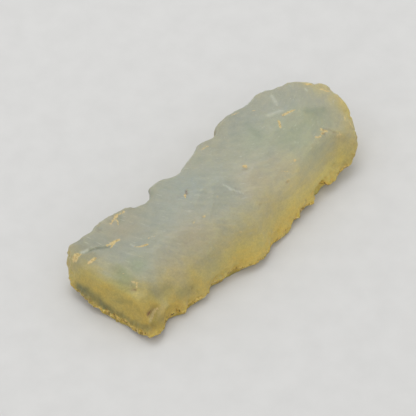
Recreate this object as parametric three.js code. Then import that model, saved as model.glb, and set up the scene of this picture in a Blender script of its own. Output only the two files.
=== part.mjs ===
import * as THREE from "three";
import { mergeVertices } from "three/addons/utils/BufferGeometryUtils.js";

// A stick of rough opal lying on its flat underside, in millimetres.
// +X runs from the square broken end to the rounded end, +Y is the back edge, +Z is up.
// The origin is the middle of the underside.

// Driving dimensions
const LENGTH = 40.2;
const WIDTH = 15.3;
const HEIGHT = 7.2;
const SEGMENTS = [64, 24, 10];

// The stick's outline at its widest level, seen from above. It bends a little towards the back
// at both ends, and is nibbled by small breaks. A pair of close points keeps a corner sharp.
const OUTLINE = [
  // back edge, from the broken end to the rounded end, with a flake that stands out near -6.5
  [-18.5, 8.6], [-18.2, 9.0], [-17.2, 9.1], [-16.9, 8.2], [-16.2, 7.2], [-14.2, 7.7],
  [-12.2, 7.8], [-10.5, 7.3], [-9.0, 4.8], [-7.6, 4.9], [-7.3, 5.1],
  [-7.0, 6.6], [-6.8, 6.8], [-4.6, 6.4], [-2.9, 4.7],
  [-1.6, 6.3], [1.4, 6.1], [2.3, 7.1], [4.6, 5.4], [5.9, 7.4], [7.4, 7.6], [9.5, 7.3],
  [10.6, 6.5], [13.2, 7.8], [15.3, 7.7], [16.5, 6.3], [17.9, 5.9],
  // rounded end
  [20.4, 5.4], [21.0, 2.1], [20.1, 0.3], [19.0, -2.3], [17.6, -4.2],
  // front edge, back to the broken end
  [17.3, -5.5], [15.5, -6.4], [13.3, -5.8], [11.4, -6.2], [10.2, -4.8], [8.9, -5.6],
  [7.8, -6.6], [6.6, -5.8], [5.3, -6.6], [4.3, -6.1], [2.9, -7.2], [0.1, -6.6], [-1.8, -7.4],
  [-3.3, -7.5], [-4.4, -7.0], [-6.2, -5.9], [-8.3, -6.1], [-9.2, -5.6], [-11.1, -6.3],
  [-13.1, -5.7], [-14.2, -6.2], [-14.6, -6.1], [-15.3, -5.1], [-15.9, -5.4],
  [-17.7, -5.8], [-19.3, -5.9],
  // broken end
  [-19.7, -5.9], [-20.0, -5.0], [-20.6, -3.3], [-20.1, -2.0], [-20.1, 0.0], [-20.6, 1.2],
  [-20.6, 2.7], [-20.1, 4.2], [-19.9, 5.3], [-19.8, 6.5], [-19.1, 7.3], [-18.6, 8.1],
];

// The crest of the upper side: its height, where it is highest, and how it drops to the two ends
const CREST = { height: 7.1, x: 3, y: 1.5, drop: [2.5, 1.4], reach: [23.5, 17.5], power: 2.5 };
// How far the upper side falls from the crest to the edges, over half the width
const FALL = { halfWidth: 7, front: 1.7, back: 1.1, brokenCorner: -1.0 };
// The widest level is low on the front and at the broken end, and high on the back
const RIM = { front: 0.9, back: 5.0, fade: [0.5, 1.8] };
// Slope of the walls above and below the widest level, front and back
const LEAN = { above: [0.25, 0.2], below: [0.5, 0.25] };
// How softly the upper side turns down into the walls
const SHOULDER = { front: 3.2, back: 0.6, end: 1.3 };
// How softly the walls turn under to the flat underside, and one scar turns into the next
const FOOT = 0.4;
const SCAR_EDGE = 0.45;

// Broad lumps as a sum of waves: height, then turns per millimetre along X, Y and Z, then phase
const LUMPS = [
  [0.12, 0.42, 0.55, 0.2, 0.4],
  [0.09, -0.75, 0.62, 0.5, 2.1],
  [0.06, 1.1, -0.5, 0.9, 4.0],
  [0.04, 0.6, 1.6, -0.7, 1.2],
  [0.035, -1.7, 0.9, 1.1, 5.3],
  [0.025, 2.3, 1.9, 0.6, 3.3],
];

// Shell-shaped scars of broken-off flakes: a point outside the scar's place, the radius of the
// scar's hollow and its depth
const SCARS = [
  // upper side
  [-16.1, -0.1, 7, 5, 0.15], [-13.5, 4.8, 7, 16, 0.3], [-8.5, 3, 7, 30, 0.25],
  [-11, -2.5, 7, 30, 0.25], [-3, -2.5, 7, 24, 0.2], [-1, 3.5, 7, 26, 0.2], [4, -3, 6, 26, 0.25],
  [5, 2, 7, 24, 0.2], [9.5, 3.4, 7, 16, 0.2], [11, -1.5, 7, 24, 0.25], [16, 1.2, 7, 10, 0.3],
  [15.5, 4.8, 7, 12, 0.25], [17, -2.5, 6, 10, 0.2],
  // broken end, with a small pit at its front corner
  [-22, 3.5, 2.4, 12, 0.15], [-22, -1.5, 2, 14, 0.15], [-18.6, -5.1, 2.9, 0.8, 0.25],
  // front
  [-12, -9, 2.4, 12, 0.15], [-7.5, -9, 2.6, 14, 0.15], [-3.5, -9, 3, 10, 0.15],
  [2.5, -9, 3, 12, 0.2], [7, -9, 3, 10, 0.15], [12, -9, 3, 12, 0.2], [17.5, -8, 3.4, 9, 0.2],
  // back
  [-15.5, 10, 2.4, 10, 0.4], [-9.8, 10, 2, 9, 0.4], [-3.5, 10, 2, 9, 0.4], [2.5, 10, 2.4, 10, 0.4],
  [8.5, 10, 1.6, 9, 0.4], [14, 10, 2.4, 10, 0.4], [19, 7, 2.4, 8, 0.3], [22.5, 0, 2, 8, 0.3],
  // under the back edge and the rounded end
  [-16, 8.5, 0.5, 14, 0.5], [-4, 8, 0.5, 16, 0.4], [8, 8.5, 0.5, 14, 0.5],
  [18.5, 4.5, 0.5, 12, 0.5],
];

// Scars that reach up into the underside and leave its middle flat: place, radius and depth
const UNDER_SCARS = [
  [-18.5, 5.5, 16, 0.9], [-11.5, 7.2, 14, 0.8], [-4, 6.8, 10, 0.7], [4, 7.6, 14, 0.9],
  [11.5, 7.2, 12, 0.8], [18.2, 2.5, 14, 1], [13.5, -6.8, 12, 0.5], [6.5, -7.2, 12, 0.4],
  [-2, -8, 14, 0.5], [-10.5, -7, 12, 0.4], [-18.5, -4.8, 12, 0.5], [-8.5, 1, 8, 0.15],
  [7, -0.5, 9, 0.2],
];

// The surface is found along rays that leave a flat plate lying inside the stick
const PLATE = { halfLength: 14, halfWidth: 2.5, height: 3.2 };
const BLOCK = { halfLength: 20, halfWidth: 7, halfHeight: 3.5 };
const RAY_LENGTH = 11;
const HALVINGS = 30;
const NORMAL_STEP = 1;

const { clamp, lerp, smoothstep } = THREE.MathUtils;

// Each point moves a quarter of the way to the middle of its neighbours
function relaxed(points, rounds = 4) {
  if (rounds === 0) return points;
  const eased = points.map(([x, y], i) => {
    const [ax, ay] = points.at(i - 1);
    const [bx, by] = points[(i + 1) % points.length];
    return [(ax + 2 * x + bx) / 4, (ay + 2 * y + by) / 4];
  });
  return relaxed(eased, rounds - 1);
}

// Rounds a closed outline by cutting its corners
function cutCorners(points, rounds = 2) {
  if (rounds === 0) return points;
  const cut = points.flatMap(([x, y], i) => {
    const [bx, by] = points[(i + 1) % points.length];
    return [
      [lerp(x, bx, 0.25), lerp(y, by, 0.25)],
      [lerp(x, bx, 0.75), lerp(y, by, 0.75)],
    ];
  });
  return cutCorners(cut, rounds - 1);
}

// How far a point is inside a closed outline; negative outside it
function depthInOutline(ring, x, y) {
  let nearest = Infinity;
  let inside = false;
  ring.forEach(([ax, ay], i) => {
    const [bx, by] = ring[(i + 1) % ring.length];
    const [ex, ey] = [bx - ax, by - ay];
    const t = clamp(((x - ax) * ex + (y - ay) * ey) / (ex * ex + ey * ey), 0, 1);
    nearest = Math.min(nearest, Math.hypot(x - ax - t * ex, y - ay - t * ey));
    if (ay > y !== by > y && x < (ex * (y - ay)) / ey + ax) inside = !inside;
  });
  return inside ? nearest : -nearest;
}

function smoothMin(a, b, reach) {
  const overlap = Math.max(reach - Math.abs(a - b), 0) / reach;
  return Math.min(a, b) - (overlap * overlap * reach) / 4;
}

const chippedRing = cutCorners(OUTLINE);
const easedRing = cutCorners(relaxed(OUTLINE));

function topHeight(x, y) {
  const end = x < CREST.x ? 0 : 1;
  const along = Math.abs(x - CREST.x) / CREST.reach[end];
  const crest = CREST.height - CREST.drop[end] * along ** CREST.power;
  const across = (y - CREST.y) / FALL.halfWidth;
  const backFall = lerp(FALL.back, FALL.brokenCorner, smoothstep(-x, 10, 19));
  return crest - (across > 0 ? backFall : FALL.front) * across * across;
}

// 0 on the front edge and the broken end, 1 on the back edge and the rounded end
function backness(x, y) {
  return smoothstep(y / 7 + 1.4 * (x / 20) ** 3, -0.9, 0.9);
}

function lean(back, rise) {
  const slopes = rise > 0 ? LEAN.above : LEAN.below;
  return Math.abs(rise) * lerp(...slopes, back);
}

// Depth behind the walls; the small breaks of the outline fade away from its widest level
function wallDepth(x, y, z) {
  const back = backness(x, y);
  const rise = z - lerp(RIM.front, RIM.back, back);
  const chips = 1 - smoothstep(Math.abs(rise), 0.4, 0.4 + lerp(...RIM.fade, back));
  const eased = depthInOutline(easedRing, x, y);
  const chipped = depthInOutline(chippedRing, x, y);
  return lerp(eased, chipped, chips) - lean(back, rise);
}

function lumps(x, y, z) {
  return LUMPS.reduce((sum, [a, kx, ky, kz, p]) => sum + a * Math.sin(kx * x + ky * y + kz * z + p), 0);
}

// Room inside the stick before any scar: positive inside, negative outside
function bodyRoom({ x, y, z }) {
  const side = lerp(SHOULDER.front, SHOULDER.back, backness(x, y));
  const shoulder = lerp(side, SHOULDER.end, smoothstep(-x, 17.5, 19.5));
  const room = smoothMin(topHeight(x, y) - z, wallDepth(x, y, z), shoulder);
  return room + lumps(x, y, z) * smoothstep(z, 0.2, 1.6);
}

// The ray that leaves the plate square to it towards a point
function rayTowards(point) {
  const { halfLength, halfWidth, height } = PLATE;
  const x = clamp(point.x, -halfLength, halfLength);
  const y = clamp(point.y, -halfWidth, halfWidth);
  const origin = new THREE.Vector3(x, y, height);
  return new THREE.Ray(origin, point.clone().sub(origin).normalize());
}

function surfacePoint(ray, roomAt) {
  let near = 0;
  let far = RAY_LENGTH;
  const point = new THREE.Vector3();
  for (let i = 0; i < HALVINGS; i += 1) {
    const middle = (near + far) / 2;
    if (roomAt(ray.at(middle, point)) > 0) near = middle;
    else far = middle;
  }
  return ray.at(near, point);
}

function outwardNormal(point, roomAt) {
  const normal = new THREE.Vector3();
  ["x", "y", "z"].forEach((axis) => {
    const ahead = point.clone();
    const behind = point.clone();
    ahead[axis] += NORMAL_STEP;
    behind[axis] -= NORMAL_STEP;
    normal[axis] = roomAt(behind) - roomAt(ahead);
  });
  return normal.normalize();
}

// The ball that a scar is hollowed by, sunk below the surface by the scar's depth
function scarBall([x, y, z, radius, depth]) {
  const place = surfacePoint(rayTowards(new THREE.Vector3(x, y, z)), bodyRoom);
  const normal = outwardNormal(place, bodyRoom);
  return new THREE.Sphere(place.addScaledVector(normal, radius - depth), radius);
}

function underBall([x, y, radius, depth]) {
  return new THREE.Sphere(new THREE.Vector3(x, y, depth - radius), radius);
}

const balls = [...SCARS.map(scarBall), ...UNDER_SCARS.map(underBall)];

function stoneRoom(point) {
  const uncut = smoothMin(bodyRoom(point), point.z, FOOT);
  return balls.reduce((room, ball) => smoothMin(room, ball.distanceToPoint(point), SCAR_EDGE), uncut);
}

// Scales the stone to its stated size and stands it on its origin
function trueUp(geometry) {
  geometry.computeBoundingBox();
  const { min, max } = geometry.boundingBox;
  geometry.translate(-(min.x + max.x) / 2, -(min.y + max.y) / 2, -min.z);
  geometry.scale(LENGTH / (max.x - min.x), WIDTH / (max.y - min.y), HEIGHT / (max.z - min.z));
}

// Splits each four-sided cell of the grid along the diagonal that lies nearer the surface, so
// that the cells follow the stone's edges
function splitAlongSurface(geometry) {
  const position = geometry.getAttribute("position");
  const corner = (i) => new THREE.Vector3().fromBufferAttribute(position, i);
  const missAt = (i, j) => Math.abs(stoneRoom(corner(i).add(corner(j)).multiplyScalar(0.5)));
  const index = geometry.getIndex();
  for (let start = 0; start < index.count; start += 6) {
    const [a, b, d] = [0, 1, 2].map((step) => index.getX(start + step));
    const c = index.getX(start + 4);
    if (missAt(a, c) < missAt(b, d)) [a, b, c, a, c, d].forEach((i, k) => index.setX(start + k, i));
  }
}

// A gridded block whose points are drawn along their rays onto the surface of the stone
function stoneGeometry() {
  const { halfLength, halfWidth, halfHeight } = BLOCK;
  const box = new THREE.BoxGeometry(2 * halfLength, 2 * halfWidth, 2 * halfHeight, ...SEGMENTS);
  box.deleteAttribute("normal");
  box.deleteAttribute("uv");
  const geometry = mergeVertices(box);
  const position = geometry.getAttribute("position");
  const point = new THREE.Vector3();
  for (let i = 0; i < position.count; i += 1) {
    point.fromBufferAttribute(position, i);
    point.z += PLATE.height;
    const found = surfacePoint(rayTowards(point), stoneRoom);
    position.setXYZ(i, found.x, found.y, found.z);
  }
  splitAlongSurface(geometry);
  trueUp(geometry);
  geometry.computeVertexNormals();
  return geometry;
}

const opal = new THREE.MeshStandardMaterial({ color: 0xa7a68f, roughness: 0.42, metalness: 0 });

const stone = new THREE.Mesh(stoneGeometry(), opal);
stone.name = "opal_stone";

const roughOpal = new THREE.Group();
roughOpal.add(stone);

export default roughOpal;
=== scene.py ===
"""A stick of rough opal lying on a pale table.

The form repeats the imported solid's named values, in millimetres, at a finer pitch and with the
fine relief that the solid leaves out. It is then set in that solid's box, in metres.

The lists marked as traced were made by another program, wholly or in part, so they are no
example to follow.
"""
import math

import bpy
import numpy as np
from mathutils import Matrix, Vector, noise


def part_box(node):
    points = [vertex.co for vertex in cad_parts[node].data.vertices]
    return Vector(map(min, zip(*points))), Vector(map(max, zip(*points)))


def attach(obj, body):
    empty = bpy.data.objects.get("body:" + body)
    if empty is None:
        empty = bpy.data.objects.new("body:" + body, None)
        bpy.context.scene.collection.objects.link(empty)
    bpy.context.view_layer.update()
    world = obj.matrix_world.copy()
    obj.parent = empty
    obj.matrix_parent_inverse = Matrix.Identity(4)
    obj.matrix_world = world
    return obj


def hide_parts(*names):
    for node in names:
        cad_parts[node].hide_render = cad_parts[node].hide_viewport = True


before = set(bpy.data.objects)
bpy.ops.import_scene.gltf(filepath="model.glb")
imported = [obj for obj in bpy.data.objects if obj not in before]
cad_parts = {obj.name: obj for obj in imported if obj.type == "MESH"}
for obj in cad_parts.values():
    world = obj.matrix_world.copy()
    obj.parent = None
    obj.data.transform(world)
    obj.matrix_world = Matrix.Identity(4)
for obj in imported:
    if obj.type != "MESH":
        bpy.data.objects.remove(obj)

NODE = "opal_stone"
MM = 0.001
SOLID_LOW, SOLID_HIGH = (np.array(corner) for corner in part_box(NODE))
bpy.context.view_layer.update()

# ---------------------------------------------------------------------------------------------
# The form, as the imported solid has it
# ---------------------------------------------------------------------------------------------

# The outline at the stone's widest level, seen from above, from the back of the broken end round
# the rounded end and back along the front. Traced: many of its points were suggested by a program
# that compared silhouettes.
OUTLINE = [
    # back edge
    (-18.5, 8.6), (-18.2, 9.0), (-17.2, 9.1), (-16.9, 8.2), (-16.2, 7.2), (-14.2, 7.7),
    (-12.2, 7.8), (-10.5, 7.3), (-9.0, 4.8), (-7.6, 4.9), (-7.3, 5.1),
    (-7.0, 6.6), (-6.8, 6.8), (-4.6, 6.4), (-2.9, 4.7),
    (-1.6, 6.3), (1.4, 6.1), (2.3, 7.1), (4.6, 5.4), (5.9, 7.4), (7.4, 7.6), (9.5, 7.3),
    (10.6, 6.5), (13.2, 7.8), (15.3, 7.7), (16.5, 6.3), (17.9, 5.9),
    # rounded end
    (20.4, 5.4), (21.0, 2.1), (20.1, 0.3), (19.0, -2.3), (17.6, -4.2),
    # front edge
    (17.3, -5.5), (15.5, -6.4), (13.3, -5.8), (11.4, -6.2), (10.2, -4.8), (8.9, -5.6),
    (7.8, -6.6), (6.6, -5.8), (5.3, -6.6), (4.3, -6.1), (2.9, -7.2), (0.1, -6.6), (-1.8, -7.4),
    (-3.3, -7.5), (-4.4, -7.0), (-6.2, -5.9), (-8.3, -6.1), (-9.2, -5.6), (-11.1, -6.3),
    (-13.1, -5.7), (-14.2, -6.2), (-14.6, -6.1), (-15.3, -5.1), (-15.9, -5.4),
    (-17.7, -5.8), (-19.3, -5.9),
    # broken end
    (-19.7, -5.9), (-20.0, -5.0), (-20.6, -3.3), (-20.1, -2.0), (-20.1, 0.0), (-20.6, 1.2),
    (-20.6, 2.7), (-20.1, 4.2), (-19.9, 5.3), (-19.8, 6.5), (-19.1, 7.3), (-18.6, 8.1),
]

CREST = {"height": 7.1, "x": 3, "y": 1.5, "drop": (1.4, 2.5), "reach": (17.5, 23.5), "power": 2.5}
FALL = {"half_width": 7, "front": 1.7, "back": 1.1, "broken_corner": -1.0, "broken_x": (10, 19)}
# The widest level: its height at the front and back, the band round it that shows every small
# break, and how far beyond the band they fade
RIM = {"front": 0.9, "back": 5.0, "band": 0.4, "fade": (0.5, 1.8)}
# How a place counts as front or back: by its share of the half width, while the broken end is
# pulled to the front and the rounded end to the back, with a soft change between them
SIDES = {"half_width": 7, "half_length": 20, "end_pull": 1.4, "soft": 0.9}
LEAN = {"above": (0.25, 0.2), "below": (0.5, 0.25)}
SHOULDER = {"front": 3.2, "back": 0.6, "end": 1.3, "end_x": (17.5, 19.5)}
FOOT = 0.2
SCAR_EDGE = 0.45

# Broad lumps as waves: height, turns per millimetre along X, Y and Z, phase
LUMPS = [
    (0.12, 0.42, 0.55, 0.2, 0.4),
    (0.09, -0.75, 0.62, 0.5, 2.1),
    (0.06, 1.1, -0.5, 0.9, 4.0),
    (0.04, 0.6, 1.6, -0.7, 1.2),
    (0.035, -1.7, 0.9, 1.1, 5.3),
    (0.025, 2.3, 1.9, 0.6, 3.3),
]
# Heights over which the lumps set in above the table
LUMPS_START = (0.2, 1.6)

# Scars of broken-off flakes: a point outside the scar's place, the hollow's radius, its depth
SCARS = [
    # upper side
    (-16.1, -0.1, 7, 5, 0.15), (-13.5, 4.8, 7, 16, 0.3), (-8.5, 3, 7, 30, 0.25),
    (-11, -2.5, 7, 30, 0.25), (-3, -2.5, 7, 24, 0.2), (-1, 3.5, 7, 26, 0.2), (4, -3, 6, 26, 0.25),
    (5, 2, 7, 24, 0.2), (9.5, 3.4, 7, 16, 0.2), (11, -1.5, 7, 24, 0.25), (16, 1.2, 7, 10, 0.3),
    (15.5, 4.8, 7, 12, 0.25), (17, -2.5, 6, 10, 0.2),
    # broken end, with a small pit at its front corner
    (-22, 3.5, 2.4, 12, 0.15), (-22, -1.5, 2, 14, 0.15), (-18.6, -5.1, 2.9, 0.8, 0.25),
    # front
    (-12, -9, 2.4, 12, 0.15), (-7.5, -9, 2.6, 14, 0.15), (-3.5, -9, 3, 10, 0.15),
    (2.5, -9, 3, 12, 0.2), (7, -9, 3, 10, 0.15), (12, -9, 3, 12, 0.2), (17.5, -8, 3.4, 9, 0.2),
    # back
    (-15.5, 10, 2.4, 10, 0.4), (-9.8, 10, 2, 9, 0.4), (-3.5, 10, 2, 9, 0.4),
    (2.5, 10, 2.4, 10, 0.4), (8.5, 10, 1.6, 9, 0.4), (14, 10, 2.4, 10, 0.4), (19, 7, 2.4, 8, 0.3),
    (22.5, 0, 2, 8, 0.3),
    # under the back edge and the rounded end
    (-16, 8.5, 0.5, 14, 0.5), (-4, 8, 0.5, 16, 0.4), (8, 8.5, 0.5, 14, 0.5),
    (18.5, 4.5, 0.5, 12, 0.5),
]

# Scars that reach up into the underside: place, radius and depth
UNDER_SCARS = [
    (-18.5, 5.5, 16, 0.9), (-11.5, 7.2, 14, 0.8), (-4, 6.8, 10, 0.7), (4, 7.6, 14, 0.9),
    (11.5, 7.2, 12, 0.8), (18.2, 2.5, 14, 1), (13.5, -6.8, 12, 0.5), (6.5, -7.2, 12, 0.4),
    (-2, -8, 14, 0.5), (-10.5, -7, 12, 0.4), (-18.5, -4.8, 12, 0.5), (-8.5, 1, 8, 0.15),
    (7, -0.5, 9, 0.2),
]

# The flat plate inside the stone that every surface ray leaves, and the block round it
PLATE = np.array([14, 2.5, 0])
PLATE_CENTRE = np.array([0, 0, 3.2])
BLOCK = np.array([20, 7, 3.5])
SEGMENTS = (256, 100, 44)
RAY_LENGTH = 11
HALVINGS = 24
# How far apart the room is read for a normal, for scars, small chips and the finished surface
SCAR_STEP = 1
CHIP_STEP = 0.3
SURFACE_STEP = 0.25


def smoothstep(value, low, high):
    t = np.clip((value - low) / (high - low), 0, 1)
    return t * t * (3 - 2 * t)


def lerp(a, b, t):
    return a + (b - a) * t


def smooth_min(a, b, reach):
    overlap = np.maximum(reach - np.abs(a - b), 0) / reach
    return np.minimum(a, b) - overlap * overlap * reach / 4


def relaxed(points, rounds=4):
    """Each point moves a quarter of the way to the middle of its neighbours, a few times."""
    for _ in range(rounds):
        points = (np.roll(points, 1, 0) + 2 * points + np.roll(points, -1, 0)) / 4
    return points


def cut_corners(points, rounds=2):
    """Rounds a closed outline."""
    for _ in range(rounds):
        after = np.roll(points, -1, 0)
        pairs = [lerp(points, after, 0.25), lerp(points, after, 0.75)]
        points = np.stack(pairs, 1).reshape(-1, 2)
    return points


class DepthMap:
    """How far a point is inside a closed outline, read from a fine grid; negative outside."""

    STEP = 0.1
    HALF = np.array([26, 14])

    def __init__(self, ring):
        counts = (2 * self.HALF / self.STEP).astype(int) + 1
        x, y = (np.linspace(-h, h, n) for h, n in zip(self.HALF, counts))
        x, y = np.meshgrid(x, y, indexing="ij")
        nearest = np.full(x.shape, np.inf)
        inside = np.zeros(x.shape, bool)
        for (ax, ay), (bx, by) in zip(ring, np.roll(ring, -1, 0)):
            ex, ey = bx - ax, by - ay
            t = np.clip(((x - ax) * ex + (y - ay) * ey) / (ex * ex + ey * ey), 0, 1)
            nearest = np.minimum(nearest, np.hypot(x - ax - t * ex, y - ay - t * ey))
            if ey != 0:
                inside ^= ((ay > y) != (by > y)) & (x < ex * (y - ay) / ey + ax)
        self.depth = np.where(inside, nearest, -nearest)

    def __call__(self, x, y):
        limits = np.array(self.depth.shape) - 1.001
        u = np.clip((x + self.HALF[0]) / self.STEP, 0, limits[0])
        v = np.clip((y + self.HALF[1]) / self.STEP, 0, limits[1])
        i, j = u.astype(int), v.astype(int)
        u, v = u - i, v - j
        near = lerp(self.depth[i, j], self.depth[i + 1, j], u)
        far = lerp(self.depth[i, j + 1], self.depth[i + 1, j + 1], u)
        return lerp(near, far, v)


RING = np.array(OUTLINE)
chipped_depth = DepthMap(cut_corners(RING, 1))
eased_depth = DepthMap(cut_corners(relaxed(RING)))


def top_height(x, y):
    end = (x < CREST["x"]).astype(int)
    along = np.abs(x - CREST["x"]) / np.take(CREST["reach"], end)
    crest = CREST["height"] - np.take(CREST["drop"], end) * along ** CREST["power"]
    across = (y - CREST["y"]) / FALL["half_width"]
    back_fall = lerp(FALL["back"], FALL["broken_corner"], smoothstep(-x, *FALL["broken_x"]))
    return crest - np.where(across > 0, back_fall, FALL["front"]) * across * across


def backness(x, y):
    """0 on the front edge and the broken end, 1 on the back edge and the rounded end."""
    pull = SIDES["end_pull"] * (x / SIDES["half_length"]) ** 3
    return smoothstep(y / SIDES["half_width"] + pull, -SIDES["soft"], SIDES["soft"])


def rim_height(x, y):
    return lerp(RIM["front"], RIM["back"], backness(x, y))


def wall_depth(x, y, z):
    """Depth behind the walls; the outline's small breaks fade away from the widest level."""
    back = backness(x, y)
    rise = z - rim_height(x, y)
    faded = RIM["band"] + lerp(*RIM["fade"], back)
    chips = 1 - smoothstep(np.abs(rise), RIM["band"], faded)
    slope = np.where(rise > 0, lerp(*LEAN["above"], back), lerp(*LEAN["below"], back))
    return lerp(eased_depth(x, y), chipped_depth(x, y), chips) - np.abs(rise) * slope


def lumps(x, y, z):
    return sum(a * np.sin(kx * x + ky * y + kz * z + phase) for a, kx, ky, kz, phase in LUMPS)


def body_room(points):
    """Room inside the stone before any scar: positive inside, negative outside."""
    x, y, z = points.T
    side = lerp(SHOULDER["front"], SHOULDER["back"], backness(x, y))
    shoulder = lerp(side, SHOULDER["end"], smoothstep(-x, *SHOULDER["end_x"]))
    room = smooth_min(top_height(x, y) - z, wall_depth(x, y, z), shoulder)
    return room + lumps(x, y, z) * smoothstep(z, *LUMPS_START)


def rays_towards(points):
    """Where the rays towards some points leave the plate, and their directions."""
    origins = np.clip(points - PLATE_CENTRE, -PLATE, PLATE) + PLATE_CENTRE
    ways = points - origins
    return origins, ways / np.linalg.norm(ways, axis=1, keepdims=True)


def surface_reach(origins, ways, room_at):
    """How far along each ray the room ends."""
    near = np.zeros(len(origins))
    far = np.full(len(origins), float(RAY_LENGTH))
    for _ in range(HALVINGS):
        middle = (near + far) / 2
        inside = room_at(origins + ways * middle[:, None]) > 0
        near = np.where(inside, middle, near)
        far = np.where(inside, far, middle)
    return near


def outward_normals(points, room_at, step):
    steps = np.eye(3) * step
    slopes = [room_at(points - s) - room_at(points + s) for s in steps]
    normals = np.stack(slopes, 1)
    return normals / np.linalg.norm(normals, axis=1, keepdims=True)


def balls_on_surface(places, radii, depths, room_at, step):
    """Centres of balls that hollow the surface to some depths, straight in from outside."""
    origins, ways = rays_towards(places)
    surface = origins + ways * surface_reach(origins, ways, room_at)[:, None]
    return surface + outward_normals(surface, room_at, step) * (radii - depths)[:, None]


def scar_balls():
    """Centres and radii of the balls that hollow the scars."""
    x, y, z, radii, depths = np.array(SCARS, float).T
    centres = balls_on_surface(np.stack([x, y, z], 1), radii, depths, body_room, SCAR_STEP)
    x, y, under_radii, under_depths = np.array(UNDER_SCARS, float).T
    under_centres = np.stack([x, y, under_depths - under_radii], 1)
    return np.vstack([centres, under_centres]), np.append(radii, under_radii)


BALLS = list(zip(*scar_balls()))


def stone_room(points):
    """Room inside the stone with its foot and its scars."""
    room = smooth_min(body_room(points), points[:, 2], FOOT)
    for centre, radius in BALLS:
        room = smooth_min(room, np.linalg.norm(points - centre, axis=1) - radius, SCAR_EDGE)
    return room


# ---------------------------------------------------------------------------------------------
# Fine relief
# ---------------------------------------------------------------------------------------------

# Families of small chips: how many, where (a function's name below), radius and depth of their
# hollows. They are scattered from one seed.
CHIP_SEED = 11
CHIPS = [
    ("low_rim", 260, (0.25, 0.7), (0.05, 0.15)),
    ("low_rim", 24, (1.2, 2.4), (0.04, 0.12)),
    ("high_rim", 110, (0.25, 0.9), (0.05, 0.16)),
    ("foot", 120, (0.4, 1.2), (0.08, 0.26)),
    ("upper_side", 30, (5, 14), (0.02, 0.06)),
]
# Where chips are scattered: the level that parts the low rim from the high one, how far outside
# the outline and how much up and down, the bottom edge's heights and the upper side's area
RIM_PARTING = 2.5
OUTSIDE = 1.05
RIM_SPREAD = 0.4
FOOT_HEIGHTS = (-0.1, 0.5)
UPPER_AREA = {"x": (-17, 17), "y": (-5, 4), "z": 7}
# A flake of the back edge that no chip has broken: its place and the room kept round it
FLAKE = (-6.3, 6.6)
FLAKE_ROOM = 2.0
# Single bites and pits: a point towards the place, radius and depth. Traced from the photo.
BITES = [
    (-11.9, 6.55, 5.55, 0.5, 0.12), (-12.75, 6.25, 5.6, 0.5, 0.12), (-4.65, 2.25, 6.6, 0.24, 0.16),
    (2.25, -0.4, 6.9, 0.35, 0.2), (-18, -1.25, 4.45, 0.4, 0.12), (-18.6, -4.4, 3.15, 0.26, 0.14),
    (-6.2, -1.55, 6.4, 0.3, 0.08), (-4.7, -1.8, 6.3, 0.25, 0.06), (-7.65, -1.2, 6.35, 0.3, 0.06),
    (7.6, -3.35, 5.9, 0.25, 0.07), (5, -4.4, 5.1, 0.4, 0.1), (5.75, -6.05, 0.9, 0.8, 0.4),
    (13.85, -2.85, 5.85, 0.35, 0.1), (9.6, -1.7, 6.2, 0.2, 0.07), (-18.75, 6.5, 4.4, 0.5, 0.08),
    (6.75, -5.8, 1.85, 0.3, 0.08),
]
# Each bite is ragged: a few overlapping hollows, smaller and a little off its middle
BITE_PARTS = 3
BITE_SHRINK = (0.5, 1)
BITE_SPREAD = 0.3

# A crack whose far lip stands higher: the corners of its line (traced from the photo), the lip's
# height and length, and how it fades in past the crack's start and out round its end
CRACK = [(-17.8, 5.45), (-16.85, 4.85), (-15.6, 4)]
LIP_HEIGHT = 0.1
LIP_LENGTH = 1.3
LIP_START = (-0.3, 1.0)
LIP_END = (-0.8, 0.3)
# Shallow grooves: two ends, half width and depth. Traced from the photo.
GROOVES = [
    ((-17.85, 5.45), (-16.85, 4.8), 0.12, 0.09), ((-16.85, 4.8), (-15.85, 4), 0.12, 0.09),
    ((-14.2, 2.25), (-13.3, 0.65), 0.16, 0.06), ((11.9, 1.8), (13.55, 1.5), 0.16, 0.08),
    ((10.75, 1.55), (10.4, 0.85), 0.15, 0.08),
]
# Thin ridges where two scars meet: two ends, half width and height. Traced from the photo.
RIDGES = [
    ((-1.35, -0.4), (-0.95, -1.45), 0.12, 0.05), ((-0.95, -1.45), (-0.5, -2.55), 0.12, 0.05),
    ((14.45, 5.55), (13.45, 3.95), 0.25, 0.07), ((10.9, 3.05), (12.5, 2.55), 0.22, 0.06),
    ((-12.4, 1.3), (-11.7, 0.9), 0.2, 0.04),
]
# Ripples of one large break, as broken arcs about a point: the arcs' centre, their pitch and
# length, their height everywhere and where they are strongest, that place and its radius
RIPPLES = {
    "centre": (9.5, 9.5), "pitch": 0.5, "length": 4.0, "height": 0.012, "strong": 0.035,
    "place": (-6.0, -2.6), "radius": 6.5,
}
# Fine lumps all over, and the broken teeth of the rims: turns per millimetre and height
GRAIN = [(0.45, 0.035), (1.3, 0.016), (3.0, 0.009)]
TEETH = [(0.9, 0.06), (2.1, 0.13), (3.6, 0.12)]
TOOTH_BAND = 0.55
# How fast the teeth change with height, next to along the rim
TOOTH_SLANT = 0.4
# How far above its widest level the back edge is broken
BACK_EDGE_RISE = 0.8
# Heights over which the grain sets in above the table, and how far up a face looks, as its
# normal's Z, while the upper side's relief sets in
OFF_TABLE = (0.05, 0.6)
RELIEF_START = (0.1, 0.5)


def segment_distance(places, start, end):
    way = np.subtract(end, start)
    t = np.clip((places - start) @ way / (way @ way), 0, 1)
    return np.linalg.norm(places - start - t[:, None] * way, axis=1)


def bell(distance, width):
    return np.exp(-((distance / width) ** 2))


def noise_at(x, y, z):
    return np.array([noise.noise(place) for place in zip(x, y, z)])


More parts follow.
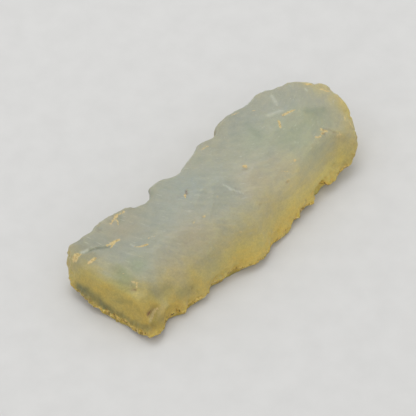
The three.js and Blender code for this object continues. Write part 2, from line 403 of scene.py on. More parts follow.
def rim_places(rng, count, low):
    """Points just outside the widest level, along the low front rim or the high back one."""
    ring = cut_corners(RING)
    ring = ring[np.linalg.norm(ring - FLAKE, axis=1) > FLAKE_ROOM]
    spots = rng.choice(ring[(rim_height(*ring.T) < RIM_PARTING) == low], count)
    heights = rim_height(*spots.T) + BACK_EDGE_RISE * backness(*spots.T)
    return np.column_stack([spots * OUTSIDE, heights + rng.normal(0, RIM_SPREAD, count)])


def foot_places(rng, count):
    """Points just outside the bottom edge."""
    places = rim_places(rng, count, True)
    places[:, 2] = rng.uniform(*FOOT_HEIGHTS, count)
    return places


def upper_places(rng, count):
    x = rng.uniform(*UPPER_AREA["x"], count)
    y = rng.uniform(*UPPER_AREA["y"], count)
    return np.column_stack([x, y, np.full(count, UPPER_AREA["z"])])


def chip_balls():
    """Centres and radii of all the small chips, bites and pits."""
    rng = np.random.default_rng(CHIP_SEED)
    scatter = {
        "low_rim": lambda count: rim_places(rng, count, True),
        "high_rim": lambda count: rim_places(rng, count, False),
        "foot": lambda count: foot_places(rng, count),
        "upper_side": lambda count: upper_places(rng, count),
    }
    bites = np.repeat(np.array(BITES, float), BITE_PARTS, axis=0)
    smaller = rng.uniform(*BITE_SHRINK, len(bites))
    places = [bites[:, :3] + rng.normal(0, BITE_SPREAD, (len(bites), 3)) * bites[:, 3:4]]
    radii, depths = [bites[:, 3] * smaller], [bites[:, 4] * smaller]
    for family, count, radius, depth in CHIPS:
        places.append(scatter[family](count))
        radii.append(rng.uniform(*radius, count))
        depths.append(rng.uniform(*depth, count))
    radii, depths = np.concatenate(radii), np.concatenate(depths)
    centres = balls_on_surface(np.vstack(places), radii, depths, stone_room, CHIP_STEP)
    return zip(centres, radii)


def bitten(reach, origins, ways):
    """Ends each ray where it first enters one of the small hollows."""
    for centre, radius in chip_balls():
        to_ball = centre - origins
        along = (to_ball * ways).sum(1)
        half = np.sqrt(np.maximum(radius**2 - ((to_ball**2).sum(1) - along**2), 0))
        enter = along - half
        reach = np.where((half > 0) & (enter > 0) & (enter < reach), enter, reach)
    return reach


def lip(x, y):
    """The raised far side of the crack, highest at the crack and falling away behind it."""
    (ax, ay), _, (bx, by) = CRACK
    way = np.array([bx - ax, by - ay])
    length = np.hypot(*way)
    along = ((x - ax) * way[0] + (y - ay) * way[1]) / length
    behind = ((x - ax) * -way[1] + (y - ay) * way[0]) / length
    window = smoothstep(along, *LIP_START) * (1 - smoothstep(along - length, *LIP_END))
    return LIP_HEIGHT * window * np.where(behind > 0, np.exp(-behind / LIP_LENGTH), 0)


def ripple_place(x, y):
    """Where a point lies across the ripples and along them."""
    x, y = x - RIPPLES["centre"][0], y - RIPPLES["centre"][1]
    far = np.hypot(*np.subtract(RIPPLES["place"], RIPPLES["centre"]))
    return np.hypot(x, y) / RIPPLES["pitch"], np.arctan2(y, -x) * far / RIPPLES["length"]


def relief(x, y):
    """Height of the fine relief on the upper side."""
    rise = lip(x, y)
    places = np.column_stack([x, y])
    for start, end, width, depth in GROOVES:
        rise -= depth * bell(segment_distance(places, start, end), width)
    for start, end, width, height in RIDGES:
        rise += height * bell(segment_distance(places, start, end), width)
    across, along = ripple_place(x, y)
    px, py = RIPPLES["place"]
    strong = RIPPLES["strong"] * bell(np.hypot(x - px, y - py), RIPPLES["radius"])
    return rise + (RIPPLES["height"] + strong) * noise_at(across, along, 0 * x)


def grain(points):
    return sum(height * noise_at(*(points.T * turns)) for turns, height in GRAIN)


def teeth(points):
    """How far the rims' small teeth and notches stand out."""
    x, y, z = points.T
    back = backness(x, y)
    near_rim = bell(z - rim_height(x, y) - BACK_EDGE_RISE * back, TOOTH_BAND)
    near_foot = bell(z, TOOTH_BAND) * (1 - back)
    out = sum(height * noise_at(x * turns, y * turns, z * TOOTH_SLANT) for turns, height in TEETH)
    return out * np.maximum(near_rim, near_foot)


def gridded_block(segments, half):
    """Points and four-sided faces, facing out, of a block with a grid on every side."""
    points, faces, count = [], [], 0
    for axis in range(3):
        u, v = (other for other in range(3) if other != axis)
        i, j = np.meshgrid(np.arange(segments[u] + 1), np.arange(segments[v] + 1), indexing="ij")
        for side in (-1, 1):
            sheet = np.empty((*i.shape, 3))
            sheet[..., axis] = side
            sheet[..., u] = 2 * i / segments[u] - 1
            sheet[..., v] = 2 * j / segments[v] - 1
            ids = count + np.arange(i.size).reshape(i.shape)
            quads = np.stack([ids[:-1, :-1], ids[1:, :-1], ids[1:, 1:], ids[:-1, 1:]], -1)
            quads = quads.reshape(-1, 4)
            outward = side * (1, -1, 1)[axis]
            faces.append(quads if outward > 0 else quads[:, ::-1])
            points.append(sheet.reshape(-1, 3))
            count += i.size
    points, merged = np.unique(np.vstack(points).round(9), axis=0, return_inverse=True)
    return points * half, merged.ravel()[np.vstack(faces)]


def stone_shape():
    """Points in millimetres and faces of the finished surface."""
    block, faces = gridded_block(SEGMENTS, BLOCK)
    origins, ways = rays_towards(block + PLATE_CENTRE)
    reach = surface_reach(origins, ways, stone_room)
    points = origins + ways * bitten(reach, origins, ways)[:, None]
    normals = outward_normals(points, stone_room, SURFACE_STEP)
    off_table = smoothstep(points[:, 2], *OFF_TABLE)
    upper = smoothstep(normals[:, 2], *RELIEF_START)
    rise = grain(points) * off_table + relief(points[:, 0], points[:, 1]) * upper
    sideways = normals * [1, 1, 0]
    return points + normals * rise[:, None] + sideways * teeth(points)[:, None], faces


# ---------------------------------------------------------------------------------------------
# Where each colour lies
# ---------------------------------------------------------------------------------------------

# Clay on the upper side, as strokes seen from above: two ends, half width and strength. Traced
# from the photo, as are the next three lists.
CLAY = [
    ((-18.65, 6.65), (-18.6, 6.35), 0.35, 1.2), ((-18.6, 6.35), (-18.3, 6), 0.14, 0.85),
    ((-18.85, 6.15), (-18.7, 6.2), 0.19, 0.9), ((-18.65, 4.5), (-17.95, 4.15), 0.21, 1),
    ((-17.45, 5.3), (-16.75, 5), 0.07, 0.55), ((-16.7, 5), (-15.95, 4.9), 0.07, 0.6),
    ((-15.75, 4.3), (-15.1, 3.95), 0.18, 1), ((-15.2, 4.25), (-14.25, 3.95), 0.21, 1),
    ((-15.8, 3.8), (-15.25, 3.9), 0.15, 0.9), ((-14.05, 1.85), (-13.9, 1.35), 0.14, 0.85),
    ((-13.85, 1.3), (-13.15, 0.75), 0.2, 1), ((-12.4, 1.3), (-11.7, 0.9), 0.12, 0.65),
    ((-10.8, 6.2), (-11.65, 6.6), 0.16, 0.9), ((-11.65, 6.6), (-12.2, 6.4), 0.22, 0.95),
    ((-12.2, 6.4), (-13, 6.3), 0.18, 0.85), ((-12.15, 6.05), (-12.6, 5.55), 0.16, 0.8),
    ((-5.2, 2.1), (-5.45, 1.7), 0.16, 0.9), ((-6.2, -1.55), (-6.1, -1.6), 0.2, 0.85),
    ((-7.65, -1.2), (-7.5, -1.25), 0.15, 0.7), ((-4.65, -1.75), (-4.7, -1.8), 0.14, 0.55),
    ((-2.95, -0.9), (-3.15, -0.95), 0.15, 0.6), ((-17.55, 0.4), (-17.5, 0.2), 0.16, 0.6),
    ((-17.6, -0.9), (-17.4, -1.55), 0.18, 0.7), ((-17.4, -1.55), (-17.75, -1.75), 0.18, 0.7),
    ((-18.05, -1.05), (-18.15, -1.55), 0.15, 0.6), ((11.9, 1.8), (12.8, 1.65), 0.24, 1),
    ((12.8, 1.65), (13.5, 1.45), 0.18, 1), ((10.85, 1.55), (10.15, 0.75), 0.18, 1),
    ((13.55, -2.55), (13.9, -3.05), 0.25, 0.9), ((13.2, -2.95), (13.85, -3), 0.2, 0.85),
    ((12.2, -2.8), (12.8, -3.15), 0.16, 0.85), ((7.6, -3.35), (7.75, -3.4), 0.18, 0.85),
    ((0.35, -6.2), (0.6, -6.2), 0.14, 0.7), ((-4, -5.1), (-3.85, -5.15), 0.14, 0.7),
    ((2.35, -0.15), (2.55, -0.4), 0.25, 0.85), ((5.4, -3.35), (5.95, -3.8), 0.22, 0.55),
    ((5.2, -3.8), (5.5, -4.45), 0.2, 0.55), ((5.15, -4.3), (5.2, -4.5), 0.18, 0.6),
    ((17.35, -3.85), (17.25, -4.2), 0.2, 0.62), ((14.5, -4.1), (15.15, -4.2), 0.25, 0.55),
    ((17.5, -2.95), (17.1, -3.4), 0.18, 0.6), ((10.35, 5.15), (10.65, 5), 0.18, 0.7),
    ((8.45, 6.55), (9.25, 6.25), 0.22, 0.6), ((1.6, 5.35), (2.45, 5.25), 0.22, 0.65),
    ((18.6, 3.65), (19, 3.3), 0.25, 0.9), ((19.25, 2.05), (19.5, 1.1), 0.22, 0.9),
    ((-17.95, -4.4), (-17.35, -4.55), 0.14, 0.62), ((-18.5, -4.7), (-19.05, -4.95), 0.15, 0.62),
]
# Brown stains in pits and along the edges, as strokes in space
STAIN = [
    ((-17.7, -4.3, 2.95), (-18.15, -4.25, 3.15), 0.1, 0.7),
    ((-18.15, -4.25, 3.15), (-18.85, -4.4, 3.25), 0.15, 1.2),
    ((-18.85, -4.4, 3.25), (-19, -4.55, 3.1), 0.17, 1.2),
    ((-18.15, -1.4, 4.3), (-18, -1.85, 4.4), 0.14, 0.8), ((-4.6, 2.3, 6.6), (-5, 2, 6.85), 0.13, 1),
    ((1.9, -0.55, 6.95), (2.2, -0.8, 7), 0.1, 0.6),
    ((14.1, -2.85, 5.85), (14.65, -3.85, 5.45), 0.1, 0.5),
    ((14.4, -4.05, 5.1), (15.3, -4.6, 4.45), 0.35, 0.14),
    ((5.45, -6.1, 0.9), (6.05, -5.95, 1.05), 0.3, 0.8),
    ((4.85, -4.4, 5.2), (5.3, -4.45, 5.05), 0.14, 0.35),
    ((6.7, -5.8, 1.9), (6.8, -5.85, 1.75), 0.11, 0.8),
    ((0.05, -4.5, 5.4), (0.2, -4.55, 5.35), 0.12, 0.35),
    ((13.3, -2.95, 5.85), (13.45, -3.2, 5.7), 0.1, 0.6),
    ((-20.2, 3.2, 1.3), (-20.25, 3, 1.3), 0.11, 0.9),
    ((-19.8, -0.4, 0.3), (-19.85, -0.75, 0.35), 0.11, 0.9),
    ((-20.15, 3.9, 1.4), (-20.15, 3.8, 1.3), 0.1, 0.8),
]
# Darker strokes of the upper side: a dark streak, a dark patch, and four strokes of painted
# shadow under the crack's raised lip
SHADE = [
    ((8.05, 4), (7.4, 1.7), 0.42, 0.7), ((14.45, 0.1), (16, -0.75), 0.65, 0.95),
    ((-17.85, 5.45), (-16.95, 4.8), 0.13, 0.95), ((-16.95, 4.8), (-16.3, 4.35), 0.13, 0.95),
    ((-16.3, 4.35), (-15.8, 4), 0.13, 0.95), ((-17.15, 4.5), (-15.95, 3.85), 0.4, 0.3),
    ((-11.55, 6.05), (-12.25, 5.75), 0.3, 0.6),
]
# Paler strokes: mostly painted highlights on ridges and crack; pinkish body by the corner pit
PALE_AND_GLINTS = [
    ((14.45, 5.55), (13.45, 3.95), 0.26, 0.7), ((10.9, 3.05), (12.5, 2.55), 0.32, 0.6),
    ((-1.35, -0.4), (-1.2, -0.95), 0.09, 0.9), ((-1.2, -0.95), (-1.1, -1.45), 0.09, 0.9),
    ((-1.1, -1.45), (-0.7, -2), 0.09, 0.9), ((-0.7, -2), (-0.5, -2.55), 0.08, 0.8),
    ((-18.15, 6.05), (-17.7, 5.55), 0.17, 1.5), ((-14, 2.4), (-14, 1.85), 0.12, 0.9),
    ((17.8, 3.15), (17.6, 2.85), 0.16, 0.9), ((9.8, -1.65), (9.8, -1.7), 0.12, 0.7),
    ((-18.35, -4.65), (-19.15, -4.9), 0.14, 0.55), ((-18.25, -4.95), (-16.3, -4.75), 0.3, 0.25),
    ((-11.15, 1), (-10.45, 0.5), 0.16, 0.35),
]
# Wide soft patches of the upper side: middle, radius and strength
GREEN = [
    (-15.8, -0.2, 1.3, 0.9), (-17.9, 0.2, 1.5, 0.9), (10.5, -1.0, 3.2, 0.6), (7.0, 1.5, 2.2, 0.5),
    (13.5, -0.8, 2.5, 0.6), (-9.0, -4.8, 1.6, 0.4),
]
BLUE = [
    (-4.0, 2.6, 3.2, 1.0), (-1.5, -0.6, 2.6, 0.8), (-8.0, 2.2, 3.0, 0.7), (-14.0, 2.0, 2.4, 0.5),
    (8.0, 5.0, 3.5, 0.6), (14.5, 3.2, 2.2, 0.5),
]
BLUSH = [
    (-9.2, -2.6, 2.6, 1.0), (1.5, -2.6, 2.6, 0.8), (-12.8, 4.6, 2.0, 0.7), (5.6, -3.0, 2.0, 0.6),
    (-13.2, -3.6, 2.0, 0.7),
]

# Wide soft patches that are warmer: middle, radius and how much
HONEY = [
    (-17.8, -2.2, 2.3, 0.32), (-14.5, -3.6, 2.0, 0.28), (-11.8, -4.6, 1.5, 0.25),
    (18.4, -2.4, 2.2, 0.28), (14.5, -4.6, 1.5, 0.14), (6.8, 7.4, 2.0, 0.30),
    (-19.8, -1.0, 2.2, 0.45),
]
# Wide soft patches that are lighter or darker than the rest: middle, radius and how much
# Painted shade and light among them: darker low on the broken end, lighter in a front-wall hollow
TONES = [
    (-17.5, 6.0, 5.5, 4.0, -0.07), (-10.0, 6.5, 6.0, 4.0, -0.12), (-18.5, -3.5, 4.0, 2.5, -0.08),
    (-17.0, 1.5, 5.0, 4.0, -0.05), (5.5, 6.8, 6.0, 3.0, -0.10), (9.5, 7.5, 6.0, 3.0, -0.08),
    (5.0, -3.5, 5.5, 4.0, 0.08), (10.0, 0.0, 6.5, 5.0, 0.05), (0.5, -1.0, 6.5, 3.0, 0.08),
    (5.0, -6.5, 2.5, 4.0, 0.08), (11.0, -6.0, 2.5, 3.0, 0.08), (15.5, -6.3, 2.0, 1.5, -0.12),
    (-18.5, -6.0, 1.5, 2.0, -0.10), (-12.5, -6.5, 1.5, 1.5, -0.08),
    (-19.6, 2.5, 4.3, 2.4, 0.09), (-19.4, -2.5, 4.0, 1.5, 0.03), (-20.2, 2.5, 1.2, 1.0, -0.08),
    (-20.0, -2.5, 0.5, 1.2, -0.05), (14.6, 0.0, 6.0, 1.5, -0.04),
    (-18.0, -3.8, 4.0, 1.2, -0.08), (10.2, -5.1, 1.2, 1.0, 0.20), (13.5, -6.0, 2.5, 2.5, -0.07),
]
# How warm the milky body is of itself, then the honey added by the front wall's height, by the way
# in from the front, on the back wall below its widest level and at the two ends: partly the body's
# own warmer colour, partly a painted glow of light passing through the stone
WARM_BODY = 0.16
WARM_WALL = {"amount": 0.40, "heights": (0.8, 5.2)}
WARM_FRONT = {"amount": 0.42, "y": (-6.6, -0.8)}
WARM_BACK_WALL = {"amount": 0.55, "depth": (0.2, 3.2)}
WARM_BROKEN_END = {
    "amount": 0.68, "x": (-19.5, -16.0), "y": (3.5, 7.5), "less_at_back": 0.4, "less_on_top": 0.5,
}
WARM_ROUND_END = {"amount": 0.28, "x": (16.8, 19.6)}
# The smoky strip across the broken end, painted shade where light passes through to the shadow
# under the stone, and fainter clouds by the front corner: as strokes on the walls. Traced
# from the photo, apart from the first stroke.
SMOKE_AND_SEEN_SHADOW = [
    ((-19.5, 5.0, 3.6), (-19.3, -3.5, 3.0), 2.2, 0.22),
    ((-19.9, 4.9, 1.65), (-20, 3.6, 2), 0.85, 0.95), ((-20, 3.6, 2), (-19.9, 2.2, 1.95), 0.8, 0.9),
    ((-19.9, 2.2, 1.95), (-20, 1.25, 1.35), 0.7, 0.9),
    ((-20, 1.25, 1.35), (-19.85, 0.05, 1.15), 0.7, 0.9),
    ((-19.85, 0.05, 1.15), (-19.65, -1.2, 1.25), 0.65, 0.8),
    ((-19.65, -1.2, 1.25), (-19.8, -2.2, 1), 0.65, 0.8),
    ((-19.8, -2.2, 1), (-19.75, -3.55, 1.45), 0.6, 0.65),
    ((-19.75, -3.55, 1.45), (-19.5, -4.85, 1.65), 0.6, 0.65),
    ((-19.35, -0.5, 2.9), (-19.15, -2.1, 3.5), 0.5, 0.4),
    ((-19, -5.15, 2.15), (-17.55, -5.3, 1.85), 0.6, 0.5),
    ((-14.05, -4.95, 2.7), (-12.5, -5.05, 2.5), 0.8, 0.35),
    ((-16.9, -3.5, 4.05), (-15.15, -4, 3.9), 0.8, 0.3),
]
# How far up a face looks, as its normal's Z, while the upper side's colours set in
UPPER_COLOURS = (0.05, 0.4)
# How the edges of marks wander: turns per millimetre, distance and a shift for each axis
WANDER = {"turns": 3.5, "reach": 0.1, "shifts": (0, 40, 80)}
# The painted glow of light through the low rim: where it is, as a share of the rim's height, its
# width and strength
EDGE_LINE = {"level": 0.9, "width": 0.35, "strength": 1.5}


def strokes(places, marks):
    """How strongly each place, given by as many coordinates as the marks, is marked."""
    total = np.zeros(len(places))
    for start, end, width, strength in marks:
        total = np.maximum(total, strength * bell(segment_distance(places, start, end), width))
    return total


def patches(x, y, places):
    total = np.zeros_like(x)
    for px, py, radius, strength in places:
        total = np.maximum(total, strength * bell(np.hypot(x - px, y - py), radius))
    return total


def tones(points):
    """How much lighter or darker the stone is than its colour alone."""
    places = np.array(TONES)
    return sum(t[4] * bell(np.linalg.norm(points - t[:3], axis=1), t[3]) for t in places)


def warmth_and_glow(points, up):
    """0 where cool and milky, 1 where deep honey, in part a painted glow of light."""
    x, y, z = points.T
    back = backness(x, y)
    wall = 1 - smoothstep(z, *WARM_WALL["heights"])
    front = 1 - smoothstep(y, *WARM_FRONT["y"])
    warm = WARM_WALL["amount"] * wall * (1 - back) + WARM_FRONT["amount"] * front
    below_rim = smoothstep(rim_height(x, y) - z, *WARM_BACK_WALL["depth"])
    back_wall = WARM_BACK_WALL["amount"] * back * below_rim
    at_back = WARM_BROKEN_END["less_at_back"] * smoothstep(y, *WARM_BROKEN_END["y"])
    broken = 1 - smoothstep(x, *WARM_BROKEN_END["x"])
    broken *= WARM_BROKEN_END["amount"] * (1 - at_back) * (1 - WARM_BROKEN_END["less_on_top"] * up)
    rounded = WARM_ROUND_END["amount"] * smoothstep(x, *WARM_ROUND_END["x"])
    return WARM_BODY + warm + back_wall + broken + rounded + patches(x, y, HONEY)


def masks(points, normals):
    """The strength of each colour at each point of the surface."""
    up = np.clip(normals[:, 2], 0, 1)
    upper = smoothstep(up, *UPPER_COLOURS)
    turned = points.T * WANDER["turns"]
    wander = np.stack([noise_at(*(turned + shift)) for shift in WANDER["shifts"]], 1)
    wander = wander * WANDER["reach"]
    x, y, z = points.T
    seen = (points + wander)[:, :2]
    rim_line = bell(z - EDGE_LINE["level"] * rim_height(x, y), EDGE_LINE["width"])
    rim_line = rim_line * (1 - backness(x, y))
    return {
        "warmth_and_glow": np.clip(warmth_and_glow(points, up), 0, 1),
        "tone": tones(points),
        # The smoke: the broken end's strip is painted shade of the shadow seen through the stone
        "smoke_and_seen_shadow": strokes(points, SMOKE_AND_SEEN_SHADOW),
        # The edge: a painted glow of light through the low rim
        "edge": np.minimum(EDGE_LINE["strength"] * rim_line, 1) * (1 - upper),
        "clay": strokes(seen, CLAY) * upper,
        "stain": strokes(points + wander, STAIN),
        "shade": strokes(seen, SHADE) * upper,
        "pale_and_glints": strokes(seen, PALE_AND_GLINTS) * upper,
        "green": patches(x, y, GREEN) * upper,
        "blue": patches(x, y, BLUE) * upper,
        "blush": patches(x, y, BLUSH) * upper,
    }


def flow(points):
    """Each point's place across and along the ripples, and its height, in ripple pitches."""
    x, y, z = points.T
    return np.column_stack([*ripple_place(x, y), z / RIPPLES["pitch"]])


# ---------------------------------------------------------------------------------------------
# The opal's material
# ---------------------------------------------------------------------------------------------


def srgb(red, green, blue):
    """A screen colour as the linear colour that a shader takes."""
    values = np.array([red, green, blue]) / 255
    linear = np.where(values < 0.04045, values / 12.92, ((values + 0.055) / 1.055) ** 2.4)
    return (*linear, 1)


class Nodes:
    """A short way to write a node tree."""

    def __init__(self, material):
        material.use_nodes = True
        self.tree = material.node_tree
        self.tree.nodes.clear()

    def add(self, kind, settings=None, **inputs):
        node = self.tree.nodes.new(kind)
        for name, value in (settings or {}).items():
            setattr(node, name, value)
        for name, value in inputs.items():
            self.set(node.inputs[name.replace("_", " ")], value)
        return node

    def set(self, socket, value):
        if isinstance(value, bpy.types.NodeSocket):
            self.tree.links.new(value, socket)
        else:
            socket.default_value = value

    def mask(self, name):
        return self.add("ShaderNodeAttribute", {"attribute_name": name}).outputs["Fac"]

    def maths(self, operation, a, b):
        node = self.add("ShaderNodeMath", {"operation": operation})
        self.set(node.inputs[0], a)
        self.set(node.inputs[1], b)
        return node.outputs[0]

    def plus(self, a, b):
        return self.maths("ADD", a, b)

    def times(self, a, b):
        return self.maths("MULTIPLY", a, b)

    def mix(self, amount, a, b):
        """A colour between two. Inputs 6 and 7 and output 2 are the node's sockets for colour."""
        node = self.add("ShaderNodeMix", {"data_type": "RGBA"})
        self.set(node.inputs[0], amount)
        self.set(node.inputs[6], a)
        self.set(node.inputs[7], b)
        return node.outputs[2]

    def swing(self, pattern, amount):
        """A pattern that runs from 0 to 1, as a swing about nothing."""
        return self.times(self.maths("SUBTRACT", pattern, 0.5), amount)

    def cloud(self, place, size, detail=3.0, roughness=0.5):
        """Noise whose blobs are about the given size, in metres."""
        node = self.add(
            "ShaderNodeTexNoise", Vector=place, Scale=1 / size, Detail=detail, Roughness=roughness
        )
        return node.outputs["Fac"]

    def step(self, pattern, low, high):
        """0 where the pattern is at the low value or beyond, 1 where it is at the high one."""
        node = self.add("ShaderNodeMapRange", {"interpolation_type": "SMOOTHSTEP"}, Value=pattern)
        node.inputs["From Min"].default_value = low
        node.inputs["From Max"].default_value = high
        return node.outputs["Result"]

    def ramp(self, amount, stops):
        node = self.add("ShaderNodeValToRGB", Fac=amount)
        elements = node.color_ramp.elements
        while len(elements) < len(stops):
            elements.new(0.5)
        for element, (position, colour) in zip(elements, stops):
            element.position = position
            element.color = colour
        return node.outputs["Color"]


# The body's colour from its cool milky upper side to its honey-coloured thin edges, whose honey is
# partly the body's own and partly a painted glow of light passing through the stone
BODY_STOPS = [
    (0.0, srgb(170, 175, 158)),
    (0.2, srgb(176, 176, 155)),
    (0.4, srgb(187, 182, 147)),
    (0.6, srgb(197, 184, 128)),
    (0.8, srgb(209, 192, 114)),
    (1.0, srgb(214, 187, 92)),
]
BLUE_MILK = srgb(162, 173, 167)
GREEN_MILK = srgb(162, 176, 134)
BLUSH_MILK = srgb(188, 176, 144)
# Darker tint; along the crack it is painted shadow under the lip
SHADE_MILK = srgb(138, 150, 126)
PALE_MILK = srgb(216, 219, 204)
# A painted glow of light through the low rim
EDGE_GLOW = srgb(226, 190, 84)
# The smoky strip's tone, mostly painted shade of the shadow seen through the stone
SMOKE_AND_SHADOW_TONE = srgb(116, 120, 84)
CLAY_TONE = srgb(230, 208, 150)
CLAY_SHADE = srgb(188, 164, 104)
STAIN_TONE = srgb(126, 92, 66)
SPECK_TONE = srgb(98, 74, 42)
GLINT_TONE = srgb(246, 222, 144)
# How much of each tint a full mask lays on
# Painted light and shade among them: smoke strip, edge glow, most pale strokes, crack shade
TINTS = [
    ("blue", 0.6, BLUE_MILK), ("green", 0.55, GREEN_MILK), ("blush", 0.6, BLUSH_MILK),
    ("shade", 0.55, SHADE_MILK), ("pale_and_glints", 0.6, PALE_MILK), ("smoke_and_seen_shadow", 0.92, SMOKE_AND_SHADOW_TONE),
    ("edge", 0.85, EDGE_GLOW),
]

# Noise patterns of the stone: the size of their blobs in millimetres, detail and roughness
CLOUDS = {
    "fine": (0.22, 5.0, 0.65), "crumbs": (0.25, 4.0, 0.7), "specks_and_glints": (0.35, 4.0, 0.7),
    "glow_and_smoke_mottle": (0.5, 3.0, 0.5), "wide": (0.8, 3.0, 0.5), "mottle": (1.4, 3.0, 0.5),
    "dull": (1.6, 4.0, 0.6), "broad": (4, 3.0, 0.5),
}
STREAK_DETAIL = 4.0
# How far each pattern swings the body's warmth
HUE_SWINGS = {"broad": 0.35, "wide": 0.14, "streaks": 0.3}
MOTTLE_BASE = 0.5
# The stone's lightness and how far the patterns swing it; warm places are grainier
LIGHTNESS = {"base": 0.97, "streaks": 0.2, "wide": 0.18, "glow_and_smoke_mottle": 0.7}
GRAININESS = {"base": 0.2, "warm": 0.45}
CLAY_COVER = {"ragged": 1.2, "edge": (0.38, 0.62), "extra": 0.1, "light": (0.32, 0.58)}
STAIN_BASE = 0.4
# Pale nicks of the cool body: size in ripple pitches, where in the noise they are, strength
NICKS = {"size": 0.35, "range": (0.62, 0.74), "strength": 0.45}
# Dark specks and bright painted glints of the low rim: tone and where in the noise they are
SPECKS = [(SPECK_TONE, 0.54, 0.59), (GLINT_TONE, 0.46, 0.41)]
SPECK_STRENGTH = 0.9
GLOSS = {"base": 0.26, "dull": 0.22, "clay": 0.4}
BUMP = {"strength": 0.5, "distance": 0.07 * MM, "fine": 0.5}
STONE = {
    "IOR": 1.45,
    "Subsurface Weight": 0.6,
    "Subsurface Radius": (1.6, 1.2, 0.6),
    "Subsurface Scale": MM,
    "Transmission Weight": 0.22,
}
ABSORB_COLOUR = (0.95, 0.80, 0.42, 1)
ABSORB_DENSITY = 60.0


def stone_patterns(n):
    """Every noise pattern of the stone by name."""
    place = n.add("ShaderNodeTexCoord").outputs["Object"]
    flow_place = n.add("ShaderNodeAttribute", {"attribute_name": "flow"}).outputs["Vector"]
    patterns = {
        name: n.cloud(place, size * MM, detail, roughness)
        for name, (size, detail, roughness) in CLOUDS.items()
    }
    patterns["streaks"] = n.cloud(flow_place, 1, STREAK_DETAIL)
    patterns["nicks"] = n.cloud(flow_place, NICKS["size"])
    return patterns


def body_colour(n, patterns):
    """The milky body with its tints."""
    hue = n.mask("warmth_and_glow")
    for name, swing in HUE_SWINGS.items():
        hue = n.plus(hue, n.swing(patterns[name], swing))
    colour = n.ramp(hue, BODY_STOPS)
    mottle = n.plus(patterns["mottle"], MOTTLE_BASE)
    for name, amount, tint in TINTS:
        colour = n.mix(n.times(n.mask(name), n.times(mottle, amount)), colour, tint)
    return colour


def lightness(n, patterns):
    grainy = n.plus(n.times(n.mask("warmth_and_glow"), GRAININESS["warm"]), GRAININESS["base"])
    streaked = n.plus(n.swing(patterns["streaks"], LIGHTNESS["streaks"]), LIGHTNESS["base"])
    value = n.plus(n.swing(patterns["fine"], grainy), streaked)
    toned = n.plus(n.swing(patterns["wide"], LIGHTNESS["wide"]), n.mask("tone"))
    # A lighter and darker mottle over the painted rim glow and the smoky strip of painted shade
    glow_and_smoke_strip = n.plus(n.mask("edge"), n.mask("smoke_and_seen_shadow"))
    glow_and_smoke_mottle = n.times(glow_and_smoke_strip, n.swing(patterns["glow_and_smoke_mottle"], LIGHTNESS["glow_and_smoke_mottle"]))
    return n.plus(glow_and_smoke_mottle, n.plus(toned, value))


def clay_cover(n, patterns):
    """How much of each place is under clay, with ragged edges."""
    ragged = n.plus(n.mask("clay"), n.swing(patterns["crumbs"], CLAY_COVER["ragged"]))
    thick = n.plus(n.mask("clay"), CLAY_COVER["extra"])
    return n.maths("MINIMUM", n.times(n.step(ragged, *CLAY_COVER["edge"]), thick), 1)


def marked_colour(n, patterns, colour, clay):
    """A colour with the clay, stains, nicks, dark specks and painted glints laid over it."""
    light_clay = n.step(patterns["crumbs"], *CLAY_COVER["light"])
    colour = n.mix(clay, colour, n.mix(light_clay, CLAY_SHADE, CLAY_TONE))
    stain = n.times(n.mask("stain"), n.plus(patterns["crumbs"], STAIN_BASE))
    colour = n.mix(stain, colour, STAIN_TONE)
    cool = n.maths("SUBTRACT", 1, n.mask("warmth_and_glow"))
    nicks = n.times(cool, n.step(patterns["nicks"], *NICKS["range"]))
    colour = n.mix(n.times(nicks, NICKS["strength"]), colour, PALE_MILK)
    # Dark specks and bright painted glints along the low rim
    for tone, low, high in SPECKS:
        specks = n.times(n.mask("edge"), n.step(patterns["specks_and_glints"], low, high))
        colour = n.mix(n.times(specks, SPECK_STRENGTH), colour, tone)
    return colour


def roughness(n, patterns, clay):
    gloss = n.plus(n.times(patterns["dull"], GLOSS["dull"]), GLOSS["base"])
    return n.plus(gloss, n.times(clay, GLOSS["clay"]))


def bumps(n, patterns, clay):
    wide = n.plus(patterns["wide"], patterns["streaks"])
    height = n.plus(n.times(patterns["fine"], BUMP["fine"]), wide)
    height = n.plus(n.times(clay, patterns["crumbs"]), height)
    node = n.add(
        "ShaderNodeBump", Strength=BUMP["strength"], Distance=BUMP["distance"], Height=height
    )
    return node.outputs["Normal"]


def opal_material():
    material = bpy.data.materials.new("opal")
    n = Nodes(material)
    patterns = stone_patterns(n)
    clay = clay_cover(n, patterns)
    body = n.add(
        "ShaderNodeHueSaturation", Color=body_colour(n, patterns), Value=lightness(n, patterns)
    )
    shader = n.add("ShaderNodeBsdfPrincipled")
    colour = marked_colour(n, patterns, body.outputs["Color"], clay)
    n.set(shader.inputs["Base Color"], colour)
    n.set(shader.inputs["Roughness"], roughness(n, patterns, clay))
    n.set(shader.inputs["Normal"], bumps(n, patterns, clay))
    for name, value in STONE.items():
        shader.inputs[name].default_value = value
    absorb = n.add("ShaderNodeVolumeAbsorption", Color=ABSORB_COLOUR, Density=ABSORB_DENSITY)
    output = n.add("ShaderNodeOutputMaterial")
    n.set(output.inputs["Surface"], shader.outputs["BSDF"])
    n.set(output.inputs["Volume"], absorb.outputs["Volume"])
    return material


def in_solid_box(points):
    """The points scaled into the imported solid's box, in metres."""
    low, high = points.min(0), points.max(0)
    return SOLID_LOW + (points - low) / (high - low) * (SOLID_HIGH - SOLID_LOW)


def add_layer(mesh, name, kind, field, values):
    layer = mesh.attributes.new(name, kind, "POINT")
    layer.data.foreach_set(field, values.astype(np.float32).ravel())


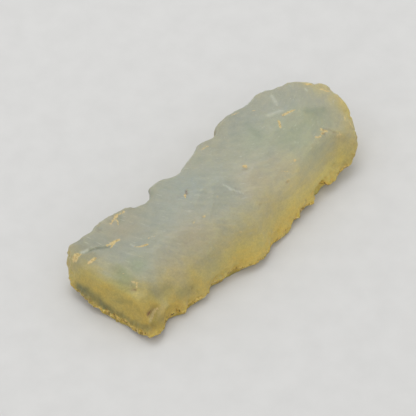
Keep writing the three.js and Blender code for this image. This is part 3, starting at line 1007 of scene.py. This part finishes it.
def opal_piece():
    points, faces = stone_shape()
    mesh = bpy.data.meshes.new("opal")
    mesh.from_pydata(in_solid_box(points).tolist(), [], faces.tolist())
    mesh.polygons.foreach_set("use_smooth", np.ones(len(faces), bool))
    mesh.update()
    normals = np.empty(len(points) * 3, np.float32)
    mesh.vertices.foreach_get("normal", normals)
    for name, values in masks(points, normals.reshape(-1, 3)).items():
        add_layer(mesh, name, "FLOAT", "value", values)
    add_layer(mesh, "flow", "FLOAT_VECTOR", "vector", flow(points))
    mesh.materials.append(opal_material())
    stone = bpy.data.objects.new("opal_surface", mesh)
    bpy.context.collection.objects.link(stone)
    return stone


# ---------------------------------------------------------------------------------------------
# Table, light and camera
# ---------------------------------------------------------------------------------------------

TABLE_SIZE = 1.2
TABLE_CLOUD = 3 * MM
TABLE_TONES = [(0.3, srgb(205, 205, 204)), (0.7, srgb(209, 209, 208))]
TABLE_ROUGHNESS = 0.85
AIM = Vector((-2.34, 0.70, 3.2)) * MM
CAMERA_AZIMUTH = -50
CAMERA_ELEVATION = 45
CAMERA_DISTANCE = 300 * MM
LENS = 234.5
# Name, azimuth and elevation of where it stands, distance, size, power and colour
LIGHTS = [
    ("window", 150, 68, 0.42, 0.34, 0.55, (1.0, 0.99, 0.97)),
    ("room", -70, 35, 0.55, 0.5, 0.3, (1.0, 0.98, 0.95)),
]
WORLD_LIGHT = 0.80


def direction(azimuth, elevation):
    """From the aim towards a stand at that angle; azimuth 0 is in front, towards -Y."""
    a, e = math.radians(azimuth), math.radians(elevation)
    return Vector((math.sin(a) * math.cos(e), -math.cos(a) * math.cos(e), math.sin(e)))


def face_aim(thing, way, distance):
    thing.location = AIM + way * distance
    thing.rotation_mode = "QUATERNION"
    thing.rotation_quaternion = way.to_track_quat("Z", "Y")
    bpy.context.collection.objects.link(thing)


def table_top():
    mesh = bpy.data.meshes.new("table_top")
    half = TABLE_SIZE / 2
    corners = [(-half, -half, 0), (half, -half, 0), (half, half, 0), (-half, half, 0)]
    mesh.from_pydata(corners, [], [(0, 1, 2, 3)])
    material = bpy.data.materials.new("pale_table")
    n = Nodes(material)
    place = n.add("ShaderNodeTexCoord").outputs["Object"]
    tone = n.ramp(n.cloud(place, TABLE_CLOUD), TABLE_TONES)
    shader = n.add("ShaderNodeBsdfPrincipled")
    n.set(shader.inputs["Base Color"], tone)
    shader.inputs["Roughness"].default_value = TABLE_ROUGHNESS
    output = n.add("ShaderNodeOutputMaterial")
    n.set(output.inputs["Surface"], shader.outputs["BSDF"])
    mesh.materials.append(material)
    table = bpy.data.objects.new("table_top", mesh)
    bpy.context.collection.objects.link(table)
    return table


def lights():
    for name, azimuth, elevation, distance, size, power, colour in LIGHTS:
        data = bpy.data.lights.new(name, "AREA")
        data.shape = "DISK"
        data.size = size
        data.energy = power
        data.color = colour
        face_aim(bpy.data.objects.new(name, data), direction(azimuth, elevation), distance)
    world = bpy.data.worlds.new("soft_room")
    world.use_nodes = True
    background = world.node_tree.nodes["Background"]
    background.inputs["Color"].default_value = (1, 1, 1, 1)
    background.inputs["Strength"].default_value = WORLD_LIGHT
    bpy.context.scene.world = world


def camera():
    data = bpy.data.cameras.new("camera")
    data.lens = LENS
    data.sensor_width = 36
    data.clip_start = 0.01
    data.clip_end = 10
    viewer = bpy.data.objects.new("camera", data)
    face_aim(viewer, direction(CAMERA_AZIMUTH, CAMERA_ELEVATION), CAMERA_DISTANCE)
    bpy.context.scene.camera = viewer


camera()
lights()
bpy.context.scene.view_settings.view_transform = "Standard"
table_top()

opal = opal_piece()
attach(opal, "root")
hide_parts(NODE)
